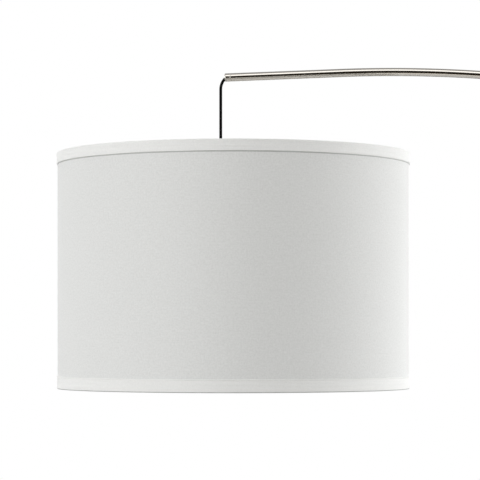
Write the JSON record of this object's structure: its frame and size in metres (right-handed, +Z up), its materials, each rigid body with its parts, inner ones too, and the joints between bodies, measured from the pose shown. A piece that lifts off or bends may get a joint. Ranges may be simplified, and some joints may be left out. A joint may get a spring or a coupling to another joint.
{
  "type": "arc floor lamp",
  "caption": "Floor lamp with a weighted round base, a telescoping pole, a long bowed arm and a linen drum shade hung on a short cord.",
  "frame": {"origin": "centre of the base's underside, on the floor at the pole's axis", "axes": "+Z up along the pole; the arm reaches towards -X in the plane Y = 0; +Y is the shade's switch side; the clamp's knob and the lead's outlet face +X"},
  "size_m": [1.4805, 0.459, 1.8976],
  "materials": {
    "nickel": "satin nickel plate, fine brushing along the tubes",
    "zinc_plate": "dull zinc plate",
    "cast_iron": "black painted casting",
    "rubber": "matte",
    "black_cord": "smooth black flex with a low sheen",
    "nylon": "natural, satin",
    "phenolic": "black moulded",
    "wire_insulation": "white sleeve",
    "brass": "bright, slightly aged",
    "frame_wire": "plated wire",
    "liner": "white styrene sheet",
    "linen": "off-white linen with slubs",
    "bulb_glass": "frosted white"
  },
  "bodies": {
    "base": {"base_foot": "rubber", "base_weight": "cast_iron", "base_cover": "nickel", "stud_washer": "zinc_plate", "stud_nut": "zinc_plate", "pole_stud": "zinc_plate", "pole_foot": "zinc_plate", "pole_flange": "nickel", "pole_lower": "nickel", "pole_coupler": "nickel", "pole_upper": "nickel", "pole_bush": "nylon", "lead_gland": "rubber", "pole_lead": "black_cord", "lead_slack": "black_cord"},
    "collar": {"swivel_collar": "nickel"},
    "clamp_pad": {"clamp_pad": "nylon"},
    "clamp_knob": {"clamp_screw": "zinc_plate", "clamp_knob": "nickel"},
    "arm": {"riser": "nickel", "riser_guide": "nylon", "riser_coupler": "nickel", "bow": "nickel", "arm_ferrule": "nickel", "tip_tube": "nickel", "tip_cap": "nickel", "tip_grip": "nylon", "arm_lead": "black_cord"},
    "cord_bend": {"cord_bend": "black_cord"},
    "cord_drop": {"cord_drop": "black_cord"},
    "pendant": {"cord_grip": "phenolic", "holder_cap": "phenolic", "holder_shell": "phenolic", "holder_ring": "phenolic", "switch_block": "phenolic", "terminal_screws": "brass", "core_wires": "wire_insulation", "socket_insulator": "phenolic", "screw_shell": "brass", "centre_contact": "brass", "bulb_base": "brass", "bulb_contact": "brass", "bulb_glass": "bulb_glass", "shade_frame": "frame_wire", "bottom_ring": "frame_wire", "shade_liner": "liner", "shade_fabric": "linen", "top_trim": "linen", "bottom_trim": "linen"},
    "switch_key": {"switch_spindle": "brass", "switch_key": "phenolic"}
  },
  "joints": [
    {"name": "arm_swivel", "type": "hinge", "parent": "base", "child": "collar", "pos_m": [0, 0, 1.14941], "axis": [0, 0, 1], "range_deg": [-175, 175]},
    {"name": "arm_lift", "type": "slide", "parent": "collar", "child": "arm", "axis": [0, 0, 1], "range_m": [-0.11, 0.25], "deforming": ["lead_slack"]},
    {"name": "pad_slide", "type": "slide", "parent": "collar", "child": "clamp_pad", "axis": [1, 0, 0], "range_m": [0, 0.002]},
    {"name": "knob_turn", "type": "hinge", "parent": "clamp_pad", "child": "clamp_knob", "pos_m": [0.03, 0, 1.16791], "axis": [1, 0, 0], "range_deg": [0, 720]},
    {"name": "side_swing", "type": "hinge", "parent": "arm", "child": "cord_bend", "pos_m": [-1.095, 0, 1.885], "axis": [0.9992, 0, 0.0396], "range_deg": [-20, 20]},
    {"name": "front_swing", "type": "hinge", "parent": "cord_bend", "child": "cord_drop", "pos_m": [-1.1, 0, 1.87426], "axis": [0, 1, 0], "range_deg": [-15, 15]},
    {"name": "shade_turn", "type": "hinge", "parent": "cord_drop", "child": "pendant", "pos_m": [-1.1, 0, 1.795], "axis": [0, 0, 1], "range_deg": [-180, 180]},
    {"name": "switch_turn", "type": "hinge", "parent": "pendant", "child": "switch_key", "pos_m": [-1.1, 0.03, 1.764], "axis": [0, 1, 0], "range_deg": [0, 90]}
  ],
  "couplings": [
    {"joint": "pad_slide", "follows": "knob_turn", "m_per_rad": 0.00015915}
  ]
}
